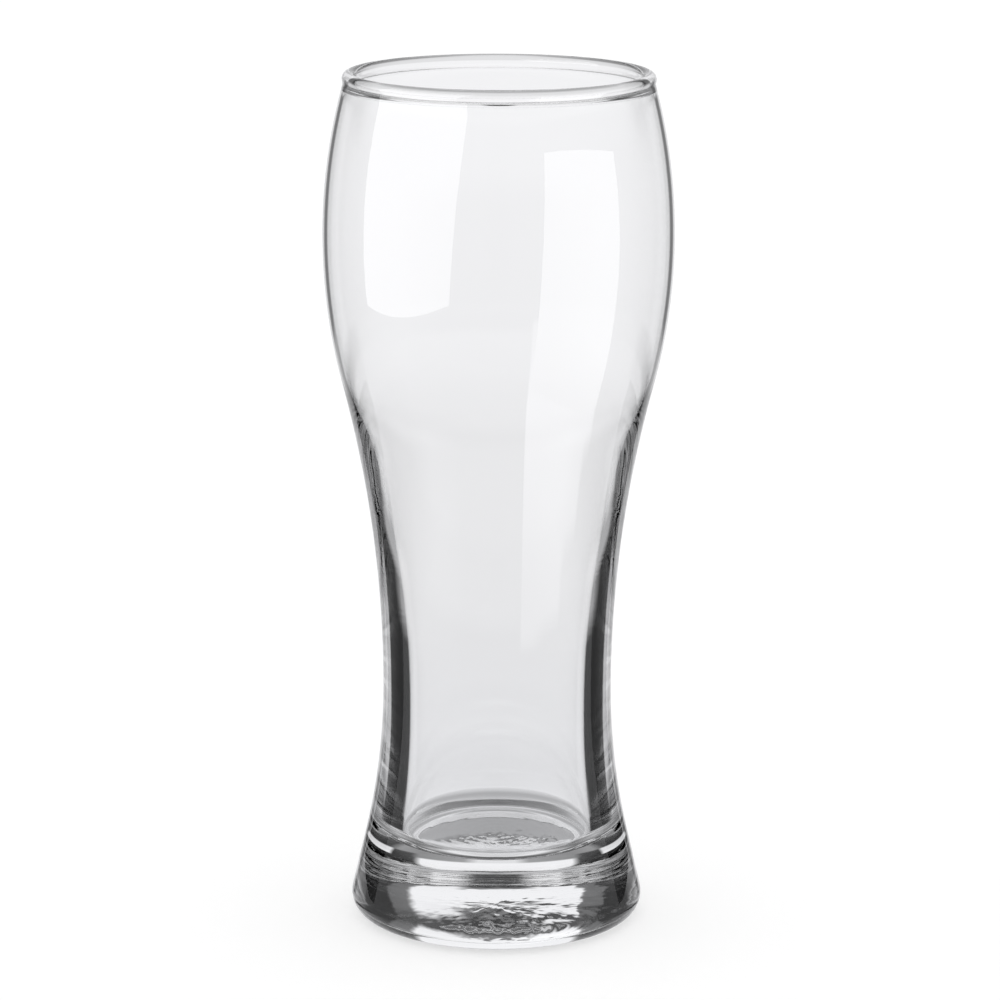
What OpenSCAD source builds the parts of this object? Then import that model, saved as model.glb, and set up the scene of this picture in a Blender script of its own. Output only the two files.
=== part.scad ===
// Pilsner glass
// A tall footed beer glass: a wide bowl that narrows to a waist and flares into a heavy foot.
// Sizes are in millimetres. The glass stands on z = 0 and turns about the z axis.

/* [Overall] */
// Height from the table to the top of the lip
glass_h = 196; // [185:1:215]

/* [Lip] */
// Outer diameter over the lip
rim_d = 70.4; // [66:0.2:76]
// Thickness of the round fire-polished lip
lip_d = 3.2; // [2.6:0.1:3.8]
// How far the lip stands out past the wall below it
lip_proud = 0.5; // [0.2:0.1:0.8]
// Radius of the fillets where the wall runs into the lip
lip_fillet = 1.5; // [1:0.1:2.5]

/* [Bowl] */
// How far the bowl swells past the lip, on each side
bulge_out = 4.5; // [3:0.1:6]
// Depth of the widest point below the top of the lip
bulge_drop = 37.4; // [32:0.2:42]
// Wall thickness at the widest point
bowl_wall = 1.1; // [0.9:0.1:1.8]

/* [Waist] */
// Outer diameter at the narrowest point
waist_d = 52.5; // [47:0.5:58]
// Height of the narrowest point
waist_z = 54.9; // [50:0.5:60]

/* [Foot] */
// How far the flare runs out past the waist by the time it meets the table, on each side
foot_out = 8.65; // [7.6:0.05:9.6]
// Slope of the flare, from upright
foot_flare = 13.3; // [12:0.1:15]
// Radius of the rounded heel
heel_r = 4.8; // [3:0.2:6]

/* [Inside] */
// Thickness of the glass between the waist and the narrowest part of the well
waist_wall = 6; // [4.5:0.25:7.5]
// How far the narrowest part of the well lies below the waist
well_drop = 5; // [2:0.5:8]
// How far the well widens down to the floor on each side, before the corner is rounded
floor_out = 2.25; // [1:0.25:3.5]
// Height of the inside floor above the table
floor_z = 18; // [14:0.5:24]
// Radius of the corner between the floor and the wall of the well
floor_fillet = 4; // [2.5:0.5:7]

/* [Base] */
// Diameter of the hollow underneath, inside the ring that the glass stands on
punt_d = 50; // [44:1:54]
// Depth of that hollow in the middle
punt_depth = 2; // [1:0.2:4]

/* [Hidden] */
// Largest gap between a curve and the short chords that draw it
chord_gap = 0.004;
// Sides of the round preview
$fn = 180;

lip_r = lip_d / 2;
waist_r = waist_d / 2;
punt_r = punt_d / 2;
// Middle of the round lip, and the radius of the wall's outer face at that height
lip_c = [rim_d / 2 - lip_r, glass_h - lip_r];
neck_r = rim_d / 2 - lip_proud;
// Widest point of the bowl, and the radius at which the flare would meet the table
bulge_r = rim_d / 2 + bulge_out;
bulge_z = glass_h - bulge_drop;
foot_r = waist_r + foot_out;
// Narrowest part of the well, and its radius at the floor
well_r = waist_r - waist_wall;
well_z = waist_z - well_drop;
floor_r = well_r + floor_out;

// Radius of an arc that starts upright and moves d sideways over a height h.
// For an S of two arcs between two uprights, it is the sum of their radii.
function upright_arc(d, h) = (d * d + h * h) / (2 * d);

// Angle through which each half of such an S turns
function upright_turn(d, h) = asin(h / upright_arc(d, h));

// Point at angle a on the circle about c
function on_circle(c, r, a) = c + r * [cos(a), sin(a)];

// Points along an arc from angle a to angle b, without the first, which ends the stretch before it
function arc(c, r, a, b) =
    let (n = ceil(abs(b - a) / (2 * acos(1 - chord_gap / r))))
    [for (i = [1:n]) on_circle(c, r, a + (b - a) * i / n)];

// Point that is r1 from c1 and r2 from c2, on the right-hand side of the way from c1 to c2
function meet(c1, r1, c2, r2) =
    let (
        way = (c2 - c1) / norm(c2 - c1),
        along = (norm(c2 - c1) + (r1 * r1 - r2 * r2) / norm(c2 - c1)) / 2,
        aside = sqrt(r1 * r1 - along * along)
    )
    c1 + along * way + aside * [way.y, -way.x];

// Direction from one point to another
function heading(from, to) = atan2(to.y - from.y, to.x - from.x);

// Arc of the bowl, which both faces of its wall share as their centre
bulge_R = upright_arc(bulge_r - neck_r, lip_c.y - bulge_z);
bulge_c = [bulge_r - bulge_R, bulge_z];
bulge_inner_R = bulge_R - bowl_wall;

// Middles of the fillets under the lip, outside and inside
under_lip_out = meet(bulge_c, bulge_R + lip_fillet, lip_c, lip_r + lip_fillet);
under_lip_in = meet(bulge_c, bulge_inner_R - lip_fillet, lip_c, lip_r + lip_fillet);

// Hollow underneath and the flat ring that the glass stands on
function base_line() =
    let (
        R = upright_arc(punt_depth, punt_r),
        heel_mid = foot_r - heel_r * (tan(foot_flare) + 1 / cos(foot_flare))
    )
    concat(
        [[0, punt_depth]],
        arc([0, punt_depth - R], R, 90, 90 - asin(punt_r / R)),
        [[heel_mid, 0]],
        arc([heel_mid, heel_r], heel_r, -90, foot_flare)
    );

// Flare of the foot, waist and bowl, up to the lip
function outer_line() =
    let (
        run_out = foot_r - waist_z * tan(foot_flare) - waist_r,
        lower_R = run_out / (1 - cos(foot_flare) - tan(foot_flare) * sin(foot_flare)),
        lower_c = [waist_r + lower_R, waist_z],
        turn = upright_turn(bulge_r - waist_r, bulge_z - waist_z),
        upper_R = upright_arc(bulge_r - waist_r, bulge_z - waist_z) - bulge_R
    )
    concat(
        [on_circle(lower_c, lower_R, 180 + foot_flare)],
        arc(lower_c, lower_R, 180 + foot_flare, 180),
        arc([waist_r + upper_R, waist_z], upper_R, 180, 180 - turn),
        arc(bulge_c, bulge_R, -turn, heading(bulge_c, under_lip_out))
    );

// Lip and its two fillets
function lip_line() =
    let (
        out = heading(under_lip_out, lip_c),
        in = heading(under_lip_in, lip_c)
    )
    concat(
        arc(under_lip_out, lip_fillet, 180 + heading(bulge_c, under_lip_out), out),
        arc(lip_c, lip_r, out - 180, in + 180),
        arc(under_lip_in, lip_fillet, in, heading(bulge_c, under_lip_in))
    );

// Inside of the bowl, the well and its floor
function inner_line() =
    let (
        side = bulge_r - bowl_wall - well_r,
        turn = upright_turn(side, bulge_z - well_z),
        upper_R = upright_arc(side, bulge_z - well_z) - bulge_inner_R,
        lower_R = upright_arc(floor_r - well_r, well_z - floor_z),
        dip = asin((well_z - floor_z - floor_fillet) / (lower_R + floor_fillet)),
        lower_c = [well_r + lower_R, well_z],
        corner_c = on_circle(lower_c, lower_R + floor_fillet, 180 + dip)
    )
    concat(
        arc(bulge_c, bulge_inner_R, heading(bulge_c, under_lip_in), -turn),
        arc([well_r + upper_R, well_z], upper_R, 180 - turn, 180),
        arc(lower_c, lower_R, 180, 180 + dip),
        arc(corner_c, floor_fillet, dip, -90),
        [[0, floor_z]]
    );

// The whole glass, moulded in one piece
module glass() {
    color([0.93, 0.96, 0.95, 0.35])
        rotate_extrude()
            polygon(concat(base_line(), outer_line(), lip_line(), inner_line()));
}

glass();
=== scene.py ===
from math import acos, asin, atan2, ceil, cos, exp, hypot, pi, radians, sin, sqrt, tan

import bmesh
import bpy
from bpy.props import FloatProperty, FloatVectorProperty, IntProperty, PointerProperty
from bpy.types import Operator, Panel, PropertyGroup
from mathutils import Matrix, Vector, noise


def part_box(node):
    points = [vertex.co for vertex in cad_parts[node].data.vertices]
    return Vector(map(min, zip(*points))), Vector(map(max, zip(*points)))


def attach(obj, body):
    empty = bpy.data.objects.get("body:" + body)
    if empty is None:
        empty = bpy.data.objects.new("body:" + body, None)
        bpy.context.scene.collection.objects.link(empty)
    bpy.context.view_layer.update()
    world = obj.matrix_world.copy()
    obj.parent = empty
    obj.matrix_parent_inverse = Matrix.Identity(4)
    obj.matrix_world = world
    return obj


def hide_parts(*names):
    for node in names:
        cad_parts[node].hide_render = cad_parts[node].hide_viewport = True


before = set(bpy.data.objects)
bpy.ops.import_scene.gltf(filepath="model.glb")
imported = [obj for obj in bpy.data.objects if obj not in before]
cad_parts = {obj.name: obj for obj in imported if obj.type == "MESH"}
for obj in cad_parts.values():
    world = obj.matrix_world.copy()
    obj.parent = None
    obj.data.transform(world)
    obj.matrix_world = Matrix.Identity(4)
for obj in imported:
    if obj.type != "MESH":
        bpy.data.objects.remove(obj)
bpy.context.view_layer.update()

bl_info = {
    "name": "Pilsner glass",
    "version": (1, 0, 0),
    "blender": (4, 5, 0),
    "location": "View3D > Sidebar > Pilsner glass",
    "description": "Builds a clear pilsner glass around its packed frame, and a plain studio to show it in",
    "category": "Object",
}

MM = 0.001
WHITE = (1.0, 1.0, 1.0, 1.0)

# Longest steps along the outline, short where rings or wrinkles follow
HOLLOW_STEP = 0.55 * MM
RING_STEP = 0.9 * MM
FLARE_STEP = 2.0 * MM
CORNER_STEP = 0.3 * MM
FLOOR_STEP = 0.45 * MM

# How far a vertex may lie off the floor or the hollow and still belong to it, and when two are one
FLOOR_SLACK = 0.1 * MM
HOLLOW_SLACK = 0.05 * MM
MERGE_GAP = 0.0001 * MM

# Rings on the floor of the well: two pitches, and waves round the axis as size, count and start
WIDE_PITCH = 2.3 * MM
FINE_PITCH = 1.37 * MM
FINE_SHARE = 0.6
FINE_START = 1.3
SWIRL = ((0.35, 1, 0.7), (0.2, 2, 1.9), (0.1, 5, 0.0))
RINGS_FROM = 3.0 * MM
RINGS_FADE = 1.0 * MM

# Patch of chilled wrinkles under the foot, and the roughness, spacing and number of its layers of noise
PATCH_AT = (7 * MM, -3 * MM)
PATCH_REACH = (13 * MM, 14 * MM)
PATCH_FADE = 2 * MM
PLAIN_SHARE = 0.06
WRINKLES_PER_M = (420, 260)
WRINKLE_SLICE = 3.7
WRINKLE_LAYERS = (0.8, 2.1, 4)

# Finish of the glass: where it is tinted and lined, how uneven it is, and noise scales per metre
TINT_FROM = 90 * MM
TINT_FULL = 15 * MM
DRIFT_SCALE = 45.0
LEAST_TINT = 0.7
WAVY_SCALE = 38.0
WAVY_HEIGHT = 0.02 * MM
LINES_LOW = 64 * MM
LINES_HIGH = 92 * MM
LINES_FADE = 8 * MM
LINES_SCALE = (60.0, 60.0, 1100.0)
LINES_HEIGHT = 0.003 * MM
GRAIN_SCALE = 900.0
GRAIN_HEIGHT = 0.004 * MM
GRAIN_FROM = 0.3 * MM
GRAIN_FULL = -0.1 * MM
SMEAR_SCALE = 60.0
ROUGHEST = 0.012

# Studio
FLOOR_GAP = 0.2 * MM
FLOOR_SEGMENTS = 96
BOUNCES = 32
SENSOR = 36.0
NEAREST = 0.01
RIGHT_BOX = ((58, -146, 48), (144, -40, 48), (144, -40, 197), (68, -133, 208))
LEFT_BOX = ((-326, 15, 60), (-164, -277, 60), (-118, -360, 420), (-326, 15, 420))
LEFT_FLAG = ((-74, 64, 0), (-110, 16, 0), (-110, 16, 90), (-74, 64, 90))
RIGHT_FLAG = ((74, 64, 0), (110, 16, 0), (110, 16, 90), (74, 64, 90))


# Kinds of property

def length(name, about, default):
    """A size property. The default is in millimetres and the property in metres."""
    return FloatProperty(
        name=name, description=about, default=default * MM, min=0.0, precision=5, unit="LENGTH"
    )


def angle(name, about, default):
    """An angle property, in radians."""
    return FloatProperty(name=name, description=about, default=default, subtype="ANGLE")


def level(name, about, default):
    """A plain number, such as a brightness."""
    return FloatProperty(name=name, description=about, default=default)


def colour(name, about, default):
    """A colour property."""
    return FloatVectorProperty(
        name=name, description=about, default=default, subtype="COLOR", size=3, min=0.0, max=1.0
    )


class GlassSizes(PropertyGroup):
    """Sizes of the glass, the same as the frame's"""

    height: FloatProperty(
        name="Height",
        description="From the table to the top of the lip",
        default=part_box("glass")[1].z,
        precision=5,
        unit="LENGTH",
    )
    rim_d: length("Rim diameter", "Outer diameter over the lip", 70.4)
    lip_d: length("Lip thickness", "Thickness of the round fire-polished lip", 3.2)
    lip_proud: length("Lip proud", "How far the lip stands out past the wall below it", 0.5)
    lip_fillet: length("Lip fillet", "Radius where the wall runs into the lip", 1.5)
    bulge_out: length("Bowl swell", "How far the bowl swells past the lip, on each side", 4.5)
    bulge_drop: length("Bowl depth", "Depth of the widest point below the top of the lip", 37.4)
    bowl_wall: length("Bowl wall", "Wall thickness at the widest point", 1.1)
    waist_d: length("Waist diameter", "Outer diameter at the narrowest point", 52.5)
    waist_z: length("Waist height", "Height of the narrowest point", 54.9)
    foot_out: length("Foot flare", "How far the flare runs out past the waist, on each side", 8.65)
    foot_slope: angle("Foot slope", "Slope of the flare, from upright", radians(13.3))
    heel_r: length("Heel radius", "Radius of the rounded heel", 4.8)
    waist_wall: length("Waist wall", "Glass between the waist and the narrowest part of the well", 6.0)
    well_drop: length("Well drop", "How far the narrowest part of the well lies below the waist", 5.0)
    floor_out: length("Well flare", "How far the well widens down to the floor on each side", 2.25)
    floor_z: length("Floor height", "Height of the inside floor above the table", 18.0)
    floor_fillet: length("Floor corner", "Radius of the corner between the floor and the well", 4.0)
    punt_d: length("Hollow diameter", "Diameter of the hollow underneath", 50.0)
    punt_depth: length("Hollow depth", "Depth of the hollow underneath in the middle", 2.0)
    segments: IntProperty(name="Segments", description="Steps round the glass", default=320, min=24)
    chord_gap: length("Chord gap", "Largest gap between a curve and the chords that draw it", 0.008)


class GlassFinish(PropertyGroup):
    """Finish of the glass"""

    tint: colour("Tint", "Colour of the thick glass", (0.985, 0.988, 0.995))
    clear: colour("Clear", "Colour of the thin glass", (1.0, 1.0, 1.0))
    ior: level("Refraction", "Refractive index of soda glass", 1.52)
    ripple: length("Floor ripple", "Height of the rings that the plunger left on the floor", 0.03)
    wrinkle: length("Chill wrinkle", "Height of the chilled wrinkles under the foot", 0.16)


class StudioSettings(PropertyGroup):
    """Floor, lights and camera"""

    floor_size: length("Floor size", "Radius of the round floor", 3000.0)
    floor_glow: level("Floor glow", "Own light of the white floor", 0.55)
    floor_white: level("Floor white", "Share of light that the floor gives back", 0.5)
    light_colour: colour("Light colour", "Colour of the light that the glass sees", (0.983, 0.984, 1.0))
    strip_light: level("Strip", "Brightness of the low strip in front on the right", 3.0)
    right_light: level("Right box", "Brightness of the right soft box", 2.5)
    left_light: level("Left box", "Brightness of the left soft box", 2.6)
    camera_place: FloatVectorProperty(
        name="Camera place",
        description="Where the camera stands",
        subtype="XYZ",
        unit="LENGTH",
        precision=5,
        default=(0.0, -0.92586, 0.30815),
    )
    camera_pitch: angle("Camera pitch", "How far the camera looks down", 0.2234)
    camera_yaw: angle("Camera yaw", "How far the camera looks aside", 0.00056)
    camera_roll: angle("Camera roll", "How far the camera leans", 0.0035)
    lens: FloatProperty(
        name="Lens",
        description="Focal length in millimetres on a 36 mm frame",
        default=149.566,
        subtype="DISTANCE_CAMERA",
    )


# Outline, drawn by swinging a pencil point about one compass point after another

def rise(d, h):
    """Radius of an arc that starts upright and moves d sideways over a height h."""
    return (d * d + h * h) / (2 * d)


def polar(centre, r, a):
    """Point at angle a on the circle about a centre, in the plane of the outline."""
    return Vector((centre[0] + r * cos(a), centre[1] + r * sin(a)))


def heading(start, end):
    """Direction from one point of the outline to another."""
    return atan2(end[1] - start[1], end[0] - start[0])


def meet(c1, r1, c2, r2):
    """Point that is r1 from c1 and r2 from c2, on the right-hand side of the way from c1 to c2."""
    way = c2 - c1
    gap = way.length
    way = way / gap
    along = (gap + (r1 * r1 - r2 * r2) / gap) / 2
    aside = sqrt(r1 * r1 - along * along)
    return c1 + along * way + aside * Vector((way.y, -way.x))


class Outline:
    """Half outline of the glass in a bmesh, drawn on from its last vertex."""

    def __init__(self, bm, start, chord_gap):
        self.bm = bm
        self.chord_gap = chord_gap
        self.tip = bm.verts.new((start[0], 0.0, start[1]))

    def swing(self, centre, r, a, b, finest=None):
        """Swings the last vertex about a centre, from angle a to angle b."""
        steps = ceil(abs(b - a) / (2 * acos(1 - self.chord_gap / r)))
        if finest:
            steps = max(steps, ceil(abs(b - a) * r / finest))
        swung = bmesh.ops.spin(
            self.bm,
            geom=[self.tip],
            cent=(centre[0], 0.0, centre[1]),
            axis=(0.0, 1.0, 0.0),
            angle=a - b,
            steps=max(steps, 1),
        )
        self.tip = next(v for v in swung["geom_last"] if isinstance(v, bmesh.types.BMVert))

    def draw(self, point, finest):
        """Draws a straight stretch to a point, in steps no longer than the finest one."""
        way = Vector((point[0], 0.0, point[1])) - self.tip.co
        steps = ceil(way.length / finest)
        for _ in range(steps):
            pulled = bmesh.ops.extrude_vert_indiv(self.bm, verts=[self.tip])
            self.tip = pulled["verts"][0]
            bmesh.ops.translate(self.bm, verts=[self.tip], vec=way / steps)


def draw_outline(bm, s):
    """Draws the half outline from the middle of the hollow underneath to the middle of the floor.

    Returns the radius at which the flat floor ends.
    """
    lip_r, waist_r, punt_r = s.lip_d / 2, s.waist_d / 2, s.punt_d / 2
    lip_c = Vector((s.rim_d / 2 - lip_r, s.height - lip_r))
    neck_r = s.rim_d / 2 - s.lip_proud
    bulge_r, bulge_z = s.rim_d / 2 + s.bulge_out, s.height - s.bulge_drop
    foot_r = waist_r + s.foot_out
    well_r, well_z = waist_r - s.waist_wall, s.waist_z - s.well_drop
    floor_r = well_r + s.floor_out
    slope = s.foot_slope

    bulge_R = rise(bulge_r - neck_r, lip_c.y - bulge_z)
    bulge_c = Vector((bulge_r - bulge_R, bulge_z))
    inner_R = bulge_R - s.bowl_wall
    under_out = meet(bulge_c, bulge_R + s.lip_fillet, lip_c, lip_r + s.lip_fillet)
    under_in = meet(bulge_c, inner_R - s.lip_fillet, lip_c, lip_r + s.lip_fillet)
    out, back = heading(under_out, lip_c), heading(under_in, lip_c)

    # Hollow underneath, standing ring and heel
    punt_R = rise(s.punt_depth, punt_r)
    punt_c = (0.0, s.punt_depth - punt_R)
    heel_mid = foot_r - s.heel_r * (tan(slope) + 1 / cos(slope))
    line = Outline(bm, (0.0, s.punt_depth), s.chord_gap)
    line.swing(punt_c, punt_R, pi / 2, pi / 2 - asin(punt_r / punt_R), HOLLOW_STEP)
    line.draw((heel_mid, 0.0), RING_STEP)
    line.swing((heel_mid, s.heel_r), s.heel_r, -pi / 2, slope)

    # Flare, waist and outside of the bowl
    run_out = foot_r - s.waist_z * tan(slope) - waist_r
    lower_R = run_out / (1 - cos(slope) - tan(slope) * sin(slope))
    line.draw(polar((waist_r + lower_R, s.waist_z), lower_R, pi + slope), FLARE_STEP)
    line.swing((waist_r + lower_R, s.waist_z), lower_R, pi + slope, pi)
    side, tall = bulge_r - waist_r, bulge_z - s.waist_z
    turn = asin(tall / rise(side, tall))
    upper_R = rise(side, tall) - bulge_R
    line.swing((waist_r + upper_R, s.waist_z), upper_R, pi, pi - turn)
    line.swing(bulge_c, bulge_R, -turn, heading(bulge_c, under_out))

    # Lip and its fillets
    line.swing(under_out, s.lip_fillet, pi + heading(bulge_c, under_out), out)
    line.swing(lip_c, lip_r, out - pi, back + pi)
    line.swing(under_in, s.lip_fillet, back, heading(bulge_c, under_in))

    # Inside of the bowl, well, corner and floor
    side, tall = bulge_r - s.bowl_wall - well_r, bulge_z - well_z
    turn = asin(tall / rise(side, tall))
    upper_R = rise(side, tall) - inner_R
    line.swing(bulge_c, inner_R, heading(bulge_c, under_in), -turn)
    line.swing((well_r + upper_R, well_z), upper_R, pi - turn, pi)
    lower_R = rise(floor_r - well_r, well_z - s.floor_z)
    dip = asin((well_z - s.floor_z - s.floor_fillet) / (lower_R + s.floor_fillet))
    corner = polar((well_r + lower_R, well_z), lower_R + s.floor_fillet, pi + dip)
    line.swing((well_r + lower_R, well_z), lower_R, pi, pi + dip)
    line.swing(corner, s.floor_fillet, dip, -pi / 2, CORNER_STEP)
    line.draw((0.0, s.floor_z), FLOOR_STEP)
    return corner.x


def smooth_step(low, high, x):
    """Runs from 0 at low to 1 at high, with soft ends."""
    t = min(max((x - low) / (high - low), 0.0), 1.0)
    return t * t * (3 - 2 * t)


def ripple_floor(bm, s, finish, flat_r):
    """Leaves the plunger's rings on the floor of the well and round its corner."""
    lowest, top = s.floor_z - FLOOR_SLACK, s.floor_z + s.floor_fillet
    end_r = flat_r + s.floor_fillet
    for v in bm.verts:
        r = hypot(v.co.x, v.co.y)
        if v.co.z > top or v.co.z < lowest or r > end_r:
            continue
        a = atan2(v.co.y, v.co.x)
        swirl = sum(size * sin(count * a + start) for size, count, start in SWIRL)
        wide = sin(2 * pi * r / WIDE_PITCH + swirl)
        fine = sin(2 * pi * r / FINE_PITCH + FINE_START + 2 * swirl)
        fade = smooth_step(0.0, RINGS_FROM, r) * smooth_step(end_r, flat_r - RINGS_FADE, r)
        v.co.z += finish.ripple / 2 * (wide + FINE_SHARE * fine) * fade


def wrinkle_base(bm, s, finish):
    """Leaves the wrinkles of chilled glass on the hollow underneath, most of them in one patch."""
    punt_r = s.punt_d / 2
    top = s.punt_depth + HOLLOW_SLACK
    for v in bm.verts:
        r = hypot(v.co.x, v.co.y)
        if v.co.z > top or r > punt_r:
            continue
        across = (v.co.x - PATCH_AT[0]) / PATCH_REACH[0]
        along = (v.co.y - PATCH_AT[1]) / PATCH_REACH[1]
        patch = exp(-(across**2) - along**2)
        fade = smooth_step(punt_r, punt_r - PATCH_FADE, r)
        place = Vector((v.co.x * WRINKLES_PER_M[0], v.co.y * WRINKLES_PER_M[1], WRINKLE_SLICE))
        bumps = noise.fractal(place, *WRINKLE_LAYERS)
        v.co.z += finish.wrinkle * bumps * fade * (PLAIN_SHARE + patch)


# Materials

class Nodes:
    """Adds nodes to a tree and joins them, in plain steps."""

    def __init__(self, tree):
        self.tree = tree
        tree.nodes.clear()

    def add(self, kind, settings=None, **sockets):
        """Adds a node, with its settings, and sets or joins its input sockets."""
        node = self.tree.nodes.new(kind)
        for name, value in (settings or {}).items():
            setattr(node, name, value)
        for name, value in sockets.items():
            self.put(node.inputs[name.replace("_", " ")], value)
        return node

    def put(self, socket, value):
        """Joins a socket to another one, or sets its value."""
        if isinstance(value, bpy.types.NodeSocket):
            self.tree.links.new(value, socket)
        else:
            socket.default_value = value

    def sum(self, operation, *values):
        """A Math node."""
        node = self.add("ShaderNodeMath", {"operation": operation})
        for socket, value in zip(node.inputs, values):
            self.put(socket, value)
        return node.outputs[0]

    def mix(self, share, a, b):
        """a where share is 0 and b where it is 1."""
        node = self.add("ShaderNodeMix")
        for socket, value in zip((node.inputs[0], node.inputs[2], node.inputs[3]), (share, a, b)):
            self.put(socket, value)
        return node.outputs[0]

    def mix_colour(self, share, a, b):
        """Colour a where share is 0 and colour b where it is 1."""
        node = self.add("ShaderNodeMix", {"data_type": "RGBA"})
        for name, value in (("Factor", share), ("A", a), ("B", b)):
            self.put(node.inputs[name], value)
        return node.outputs["Result"]

    def steps(self, value, low, high, points):
        """A value read off straight lines between points, over the range from low to high."""
        node = self.add("ShaderNodeFloatCurve", Value=self.range(value, low, high))
        line = node.mapping.curves[0].points
        spots = [((x - low) / (high - low), y) for x, y in points]
        for x, y in spots[1:-1]:
            line.new(x, y)
        line[0].location, line[-1].location = spots[0], spots[-1]
        for point in line:
            point.handle_type = "VECTOR"
        node.mapping.update()
        return node.outputs[0]

    def range(self, value, low, high, start=0.0, end=1.0, soft=False):
        """A value taken from one range to another, and kept inside it."""
        node = self.add("ShaderNodeMapRange", {"interpolation_type": "SMOOTHSTEP" if soft else "LINEAR"})
        for name, number in (("From Min", low), ("From Max", high), ("To Min", start), ("To Max", end)):
            node.inputs[name].default_value = number
        self.put(node.inputs["Value"], value)
        return node.outputs[0]

    def noise(self, place, scale, detail):
        """Soft noise between 0 and 1."""
        return self.add("ShaderNodeTexNoise", Vector=place, Scale=scale, Detail=detail).outputs["Fac"]


def new_material(name):
    """An empty material and its nodes."""
    material = bpy.data.materials.new(name)
    material.use_nodes = True
    return material, Nodes(material.node_tree)


def clear_glass(s, finish):
    """Clear soda glass, a little wavy, with lines drawn round the waist and a fine grain underneath."""
    material, n = new_material("clear_glass")
    place = n.add("ShaderNodeTexCoord").outputs["Object"]
    z = n.add("ShaderNodeSeparateXYZ", Vector=place).outputs["Z"]

    # Thick glass in the foot has a trace of colour, which drifts a little
    drift = n.range(n.noise(place, DRIFT_SCALE, 2.0), 0.3, 0.7, LEAST_TINT, 1.0)
    thick = n.sum("MULTIPLY", n.range(z, TINT_FROM, TINT_FULL, soft=True), drift)
    tint = n.mix_colour(thick, (*finish.clear, 1.0), (*finish.tint, 1.0))

    # Waviness all over
    height = n.sum("MULTIPLY", n.noise(place, WAVY_SCALE, 1.0), WAVY_HEIGHT)

    # Lines drawn round the waist
    squeezed = n.add("ShaderNodeMapping", Vector=place, Scale=LINES_SCALE).outputs[0]
    above = n.range(z, LINES_LOW, LINES_LOW + LINES_FADE, soft=True)
    below = n.range(z, LINES_HIGH, LINES_HIGH - LINES_FADE, soft=True)
    lines = n.sum("MULTIPLY", n.noise(squeezed, 1.0, 2.0), n.sum("MULTIPLY", above, below))
    height = n.sum("ADD", height, n.sum("MULTIPLY", lines, LINES_HEIGHT))

    # Grain on the hollow underneath
    under = n.range(z, s.punt_depth + GRAIN_FROM, s.punt_depth + GRAIN_FULL)
    grain = n.sum("MULTIPLY", n.noise(place, GRAIN_SCALE, 3.0), under)
    height = n.sum("ADD", height, n.sum("MULTIPLY", grain, GRAIN_HEIGHT))
    bump = n.add("ShaderNodeBump", Strength=1.0, Distance=1.0, Height=height).outputs[0]

    # Polish, with faint smears
    smears = n.range(n.noise(place, SMEAR_SCALE, 4.0), 0.45, 0.8, 0.0, ROUGHEST)
    shader = n.add(
        "ShaderNodeBsdfPrincipled",
        Base_Color=tint,
        Roughness=smears,
        Transmission_Weight=1.0,
        IOR=finish.ior,
        Normal=bump,
    )
    n.add("ShaderNodeOutputMaterial", Surface=shader.outputs[0])
    return material


def white_floor(studio):
    """Plain white floor that glows enough to stay white and still takes a soft shadow."""
    material, n = new_material("white_floor")
    share = studio.floor_white
    glow = n.add("ShaderNodeEmission", Color=WHITE, Strength=studio.floor_glow)
    matt = n.add("ShaderNodeBsdfDiffuse", Color=(share, share, share, 1.0))
    both = n.add("ShaderNodeAddShader")
    n.put(both.inputs[0], glow.outputs[0])
    n.put(both.inputs[1], matt.outputs[0])
    n.add("ShaderNodeOutputMaterial", Surface=both.outputs[0])
    return material


def card_light(name, strength):
    """Even white light of a card, or black for none."""
    material, n = new_material(name)
    glow = n.add("ShaderNodeEmission", Color=WHITE, Strength=strength)
    n.add("ShaderNodeOutputMaterial", Surface=glow.outputs[0])
    return material


def add_object(name, bm, material):
    """Puts a finished bmesh into the scene as an object at the origin."""
    mesh = bpy.data.meshes.new(name)
    bm.to_mesh(mesh)
    bm.free()
    mesh.materials.append(material)
    obj = bpy.data.objects.new(name, mesh)
    bpy.context.scene.collection.objects.link(obj)
    return obj


# Light of the studio. Angles are in degrees, and azimuth 0 lies behind the glass.

class Sky:
    """Reads light off the direction of a ray that has left the glass."""

    def __init__(self, n):
        self.n = n
        axes = n.add("ShaderNodeTexCoord").outputs["Generated"]
        self.x, y, z = n.add("ShaderNodeSeparateXYZ", Vector=axes).outputs
        self.azimuth = n.sum("DEGREES", n.sum("ABSOLUTE", n.sum("ARCTAN2", self.x, y)))
        self.elevation = n.sum("DEGREES", n.sum("ARCSINE", z))

    def round(self, points):
        """Light read off straight lines over the azimuth."""
        return self.n.steps(self.azimuth, 0, 180, points)

    def upward(self, points):
        """Light read off straight lines over the elevation."""
        return self.n.steps(self.elevation, -90, 90, points)

    def banded(self, lowest, *bands):
        """Light of the lowest band, and of each next one, which takes over between two elevations."""
        light = self.round(lowest)
        for low, high, points in bands:
            light = self.n.mix(self.n.range(self.elevation, low, high), light, self.round(points))
        return light


def light_through(sky):
    """Straight through the hollow body: bright, and darker far below."""
    return sky.upward(
        [(-90, 0.85), (-60, 0.7), (-50, 0.45), (-42, 0.42), (-38, 0.5), (-34, 0.62), (-29, 0.74), (-26, 0.88),
         (-21, 0.82), (-19, 0.86), (-17.5, 0.845), (-15.5, 0.89), (-12, 0.94), (-8, 0.98), (-5, 1), (90, 1)]
    )


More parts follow.
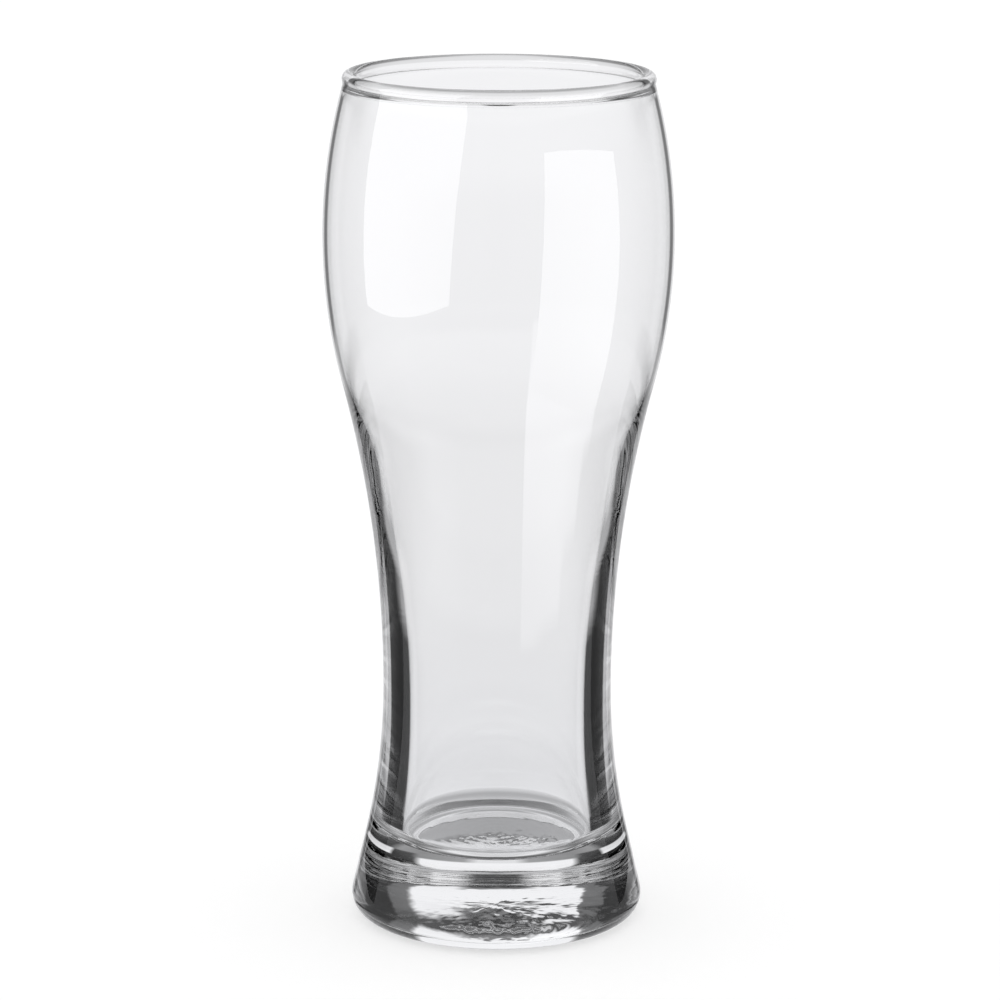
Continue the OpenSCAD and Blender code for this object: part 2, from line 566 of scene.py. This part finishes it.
def light_solid(sky):
    """Straight through one wall or the foot: a white panel behind, with dark flags on its sides."""
    return sky.banded(
        [(0, 0.55), (180, 0.55)],
        (-54, -42, [(0, 0.8), (3, 0.75), (7, 0.35), (24, 0.25), (34, 0.3), (40, 0.03), (86, 0.02), (94, 0.8),
                    (180, 0.8)]),
        (-17, -15, [(0, 0.8), (5, 0.8), (9, 0.35), (24, 0.25), (27, 0.05), (36, 0.02), (38, 0.8), (62, 0.8),
                    (64, 0.02), (86, 0.02), (94, 0.9), (180, 0.9)]),
        (-10, -8, [(0, 0.96), (22.5, 0.94), (24, 0.4), (25.5, 0.04), (36, 0), (38, 0.9), (62, 0.9),
                   (64, 0.02), (86, 0.02), (94, 0.95), (180, 0.95)]),
        (-4, -3, [(0, 0.96), (22.5, 0.94), (24, 0.4), (25.5, 0.04), (30, 0), (86, 0.02), (94, 0.95),
                  (180, 0.95)]),
    )


def light_outside(sky):
    """Turned away by the outer face."""
    return sky.banded(
        [(0, 0.9), (60, 0.8), (90, 0.6), (140, 0.8), (180, 0.85)],
        (-24, -22, [(0, 0.9), (60, 0.8), (90, 0.6), (140, 0.3), (180, 0.25)]),
        (-22, -21, [(0, 0.9), (17, 0.9), (22, 0.3), (29, 0.1), (31, 0), (50, 0.02), (60, 0.2), (72, 0.45),
                    (90, 0.5), (140, 0.3), (180, 0.25)]),
        (-19.5, -18.5, [(0, 0.95), (16, 0.9), (22, 0.8), (30, 0.7), (36, 0.75), (50, 0.7), (55, 0.35),
                        (68, 0.35), (90, 0.5), (140, 0.4), (180, 0.35)]),
        (-14.5, -13.5, [(0, 0.95), (16, 0.9), (19, 0.5), (23, 0.2), (28, 0.25), (31, 0.65), (36, 0.75),
                        (50, 0.7), (55, 0.4), (68, 0.4), (90, 0.5), (140, 0.4), (180, 0.35)]),
        (5, 9, [(0, 0.9), (16, 0.9), (20, 0.4), (24, 0.05), (64, 0.1), (80, 0.5), (180, 0.55)]),
        (20, 28, [(0, 0.05), (60, 0.1), (90, 0.5), (180, 0.55)]),
    )


def light_strip(sky, strength):
    """Low strip in front on the right, narrower towards its upper end."""
    def between(dark, lit):
        return [(0, 0), (dark, 0), (lit, 1), (156, 1), (158, 0), (180, 0)]

    strip = sky.banded(
        between(94, 97),
        (-33, -29, between(101, 104)),
        (-28, -24, between(113, 118)),
        (-23, -20, between(132, 144)),
    )
    upward = sky.upward(
        [(-90, 0.3), (-45, 1), (-38, 1), (-29, 0.7), (-25, 0.55), (-21.5, 0.5), (-20, 0), (90, 0)]
    )
    on_right = sky.n.sum("GREATER_THAN", sky.x, 0.0)
    strip = sky.n.sum("MULTIPLY", sky.n.sum("MULTIPLY", strip, upward), on_right)
    return sky.n.sum("MULTIPLY", strip, strength)


def light_once(sky):
    """Turned once inside the wall or the foot."""
    return sky.banded(
        [(0, 0.1), (50, 0.15), (80, 0.4), (105, 0.9), (140, 0.7), (180, 0.7)],
        (-46, -42, [(0, 0.15), (22, 0.2), (29, 0.7), (37, 0.9), (44, 0.4), (52, 0.1), (62, 0.2), (80, 0.6),
                    (180, 0.5)]),
        (-32, -30, [(0, 0.1), (24, 0.1), (31, 0.45), (52, 0.55), (80, 0.5), (180, 0.4)]),
        (-28.5, -27, [(0, 0.2), (12, 0), (38, 0.03), (46, 0.25), (62, 0.55), (180, 0.4)]),
        (-25.5, -23, [(0, 0.75), (12.5, 0.65), (15.5, 0.05), (30, 0.02), (60, 0.01), (68, 0.5), (180, 0.45)]),
        (-18, -17, [(0, 0.85), (14, 0.8), (16.5, 0.15), (25, 0.1), (29, 0.7), (44, 0.6), (62, 0.5),
                    (75, 0.35), (180, 0.3)]),
        (2, 6, [(0, 0.95), (23.5, 0.95), (25, 0.3), (26, 0.16), (34, 0.13), (35.5, 0.02), (62, 0.01),
                (72, 0.5), (180, 0.5)]),
        (18, 21, [(0, 0.2), (7, 0.2), (12, 0.9), (23.5, 0.95), (25, 0.3), (26, 0.16), (34, 0.13),
                  (35.5, 0.02), (62, 0.01), (72, 0.5), (110, 0.8), (180, 0.9)]),
        (25, 33, [(0, 0.02), (20, 0.06), (60, 0.01), (70, 0.4), (110, 0.8), (180, 0.9)]),
        (38, 44, [(0, 0.02), (36, 0.1), (41, 0.8), (54, 0.85), (70, 0.6), (110, 0.8), (180, 0.9)]),
    )


def light_often(sky):
    """Turned more than once inside the wall or the foot."""
    return sky.banded(
        [(0, 0.5), (60, 0.8), (180, 0.8)],
        (-46, -42, [(0, 0.15), (16, 0.15), (24, 0.3), (32, 0.5), (42, 0.3), (55, 0.05), (75, 0.2), (90, 0.4),
                    (115, 0.4), (140, 0.1), (180, 0.1)]),
        (-20, -15, [(0, 0.3), (20, 0.3), (60, 0.25), (90, 0.3), (120, 0.3), (140, 0.03), (180, 0.03)]),
        (4, 9, [(0, 0.25), (20, 0.25), (60, 0.2), (80, 0.35), (165, 0.5), (180, 0.4)]),
        (18, 32, [(0, 0.06), (60, 0.06), (80, 0.35), (165, 0.5), (180, 0.4)]),
        (34, 40, [(0, 0.06), (44, 0.1), (60, 0.5), (85, 0.9), (145, 0.9), (160, 0.4), (180, 0.3)]),
        (60, 66, [(0, 0.03), (180, 0.03)]),
    )


def light_across(sky):
    """Turned before or after a way through the hollow."""
    return sky.banded(
        [(0, 1), (30, 0.9), (60, 0.5), (90, 0.4), (120, 0.25), (180, 0.15)],
        (-30, -26, [(0, 1), (20, 0.9), (27, 0.4), (40, 0.5), (60, 0.6), (180, 0.6)]),
        (-17, -13, [(0, 0.15), (11, 0.2), (16, 0.75), (30, 0.85), (60, 0.72), (105, 0.75), (140, 0.5),
                    (180, 0.5)]),
        (10, 18, [(0, 0.2), (10, 0.4), (60, 0.4), (100, 0.5), (180, 0.4)]),
        (28, 38, [(0, 0.42), (28, 0.4), (38, 0.02), (95, 0.05), (112, 0.6), (160, 0.6), (180, 0.3)]),
        (60, 66, [(0, 0.2), (28, 0.15), (38, 0), (180, 0.08)]),
    )


def light_studio(studio):
    """An even white room for the camera and the floor, and a light for each way through the glass."""
    world = bpy.data.worlds.new("studio")
    bpy.context.scene.world = world
    world.use_nodes = True
    n = Nodes(world.node_tree)
    sky = Sky(n)
    path = n.add("ShaderNodeLightPath").outputs

    # How the ray came through the glass
    entered = n.sum("GREATER_THAN", path["Transmission Depth"], 0.5)
    crossed = n.sum("GREATER_THAN", path["Transmission Depth"], 2.5)
    turned = n.sum("GREATER_THAN", path["Glossy Depth"], 0.5)
    again = n.sum("GREATER_THAN", path["Glossy Depth"], 1.5)

    outside = n.sum("MAXIMUM", light_outside(sky), light_strip(sky, studio.strip_light))
    inside = n.mix(crossed, n.mix(again, light_once(sky), light_often(sky)), light_across(sky))
    straight = n.mix(crossed, light_solid(sky), light_through(sky))
    in_glass = n.mix(turned, straight, n.mix(entered, outside, inside))

    room = n.sum("MAXIMUM", path["Is Camera Ray"], path["Is Diffuse Ray"])
    tone = n.mix_colour(room, (*studio.light_colour, 1.0), WHITE)
    back = n.add("ShaderNodeBackground", Color=tone, Strength=n.mix(room, in_glass, 1.0))
    n.add("ShaderNodeOutputWorld", Surface=back.outputs[0])


# Stage

def add_floor(studio):
    """Lays the round floor just under the glass."""
    bm = bmesh.new()
    bmesh.ops.create_circle(bm, cap_ends=True, radius=studio.floor_size, segments=FLOOR_SEGMENTS)
    bmesh.ops.translate(bm, verts=bm.verts, vec=(0.0, 0.0, -FLOOR_GAP))
    floor = add_object("floor", bm, white_floor(studio))
    floor.visible_glossy = False
    floor.visible_transmission = False


def add_card(name, strength, corners):
    """Hangs a card that only the outer face of the glass mirrors. Corners are in millimetres."""
    bm = bmesh.new()
    bmesh.ops.contextual_create(bm, geom=[bm.verts.new(Vector(corner) * MM) for corner in corners])
    card = add_object(name, bm, card_light(name, strength))
    card.visible_camera = False
    card.visible_diffuse = False
    card.visible_shadow = False
    card.visible_transmission = False


def add_camera(studio):
    """Sets the camera and returns it."""
    lens = bpy.data.cameras.new("camera")
    lens.sensor_width = SENSOR
    lens.lens = studio.lens
    lens.clip_start = NEAREST
    camera = bpy.data.objects.new("camera", lens)
    bpy.context.scene.collection.objects.link(camera)
    aim = (
        Matrix.Rotation(-studio.camera_yaw, 4, "Z")
        @ Matrix.Rotation(pi / 2 - studio.camera_pitch, 4, "X")
        @ Matrix.Rotation(studio.camera_roll, 4, "Z")
    )
    camera.matrix_world = Matrix.Translation(studio.camera_place) @ aim
    return camera


# Operators

class PILSNER_OT_glass(Operator):
    """Spins the glass from its outline and gives it its finish"""

    bl_idname = "pilsner.glass"
    bl_label = "Glass"

    def execute(self, context):
        sizes, finish = context.scene.glass_sizes, context.scene.glass_finish
        bm = bmesh.new()
        flat_r = draw_outline(bm, sizes)
        bmesh.ops.spin(
            bm,
            geom=bm.verts[:] + bm.edges[:],
            cent=(0.0, 0.0, 0.0),
            axis=(0.0, 0.0, 1.0),
            angle=2 * pi,
            steps=sizes.segments,
            use_merge=True,
        )
        bmesh.ops.remove_doubles(bm, verts=bm.verts, dist=MERGE_GAP)
        ripple_floor(bm, sizes, finish, flat_r)
        wrinkle_base(bm, sizes, finish)
        bmesh.ops.recalc_face_normals(bm, faces=bm.faces)
        if any(not edge.is_manifold for edge in bm.edges):
            raise RuntimeError("the glass is not closed")
        for face in bm.faces:
            face.smooth = True
        glass = add_object("pilsner_glass", bm, clear_glass(sizes, finish))
        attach(glass, "root")
        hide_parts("glass")
        return {"FINISHED"}


class PILSNER_OT_stage(Operator):
    """Sets the floor, the lights and the camera"""

    bl_idname = "pilsner.stage"
    bl_label = "Stage"

    def execute(self, context):
        scene, studio = context.scene, context.scene.glass_studio
        scene.view_settings.view_transform = "Standard"
        scene.cycles.max_bounces = BOUNCES
        scene.cycles.transmission_bounces = BOUNCES
        scene.cycles.glossy_bounces = BOUNCES
        add_floor(studio)
        add_card("right_box", studio.right_light, RIGHT_BOX)
        add_card("left_box", studio.left_light, LEFT_BOX)
        add_card("left_flag", 0.0, LEFT_FLAG)
        add_card("right_flag", 0.0, RIGHT_FLAG)
        light_studio(studio)
        scene.camera = add_camera(studio)
        return {"FINISHED"}


class PILSNER_PT_build(Panel):
    """Sizes, finish and build steps of the pilsner glass"""

    bl_label = "Pilsner glass"
    bl_idname = "PILSNER_PT_build"
    bl_space_type = "VIEW_3D"
    bl_region_type = "UI"
    bl_category = "Pilsner glass"

    def draw(self, context):
        groups = (context.scene.glass_sizes, context.scene.glass_finish, context.scene.glass_studio)
        steps = (None, PILSNER_OT_glass, PILSNER_OT_stage)
        for group, step in zip(groups, steps):
            column = self.layout.column()
            for name in group.__annotations__:
                column.prop(group, name)
            if step:
                column.operator(step.bl_idname)


CLASSES = (GlassSizes, GlassFinish, StudioSettings, PILSNER_OT_glass, PILSNER_OT_stage, PILSNER_PT_build)


def register():
    for cls in CLASSES:
        bpy.utils.register_class(cls)
    bpy.types.Scene.glass_sizes = PointerProperty(type=GlassSizes)
    bpy.types.Scene.glass_finish = PointerProperty(type=GlassFinish)
    bpy.types.Scene.glass_studio = PointerProperty(type=StudioSettings)


def unregister():
    del bpy.types.Scene.glass_studio
    del bpy.types.Scene.glass_finish
    del bpy.types.Scene.glass_sizes
    for cls in reversed(CLASSES):
        bpy.utils.unregister_class(cls)


def main():
    register()
    bpy.ops.pilsner.glass()
    bpy.ops.pilsner.stage()


if __name__ == "__main__":
    main()
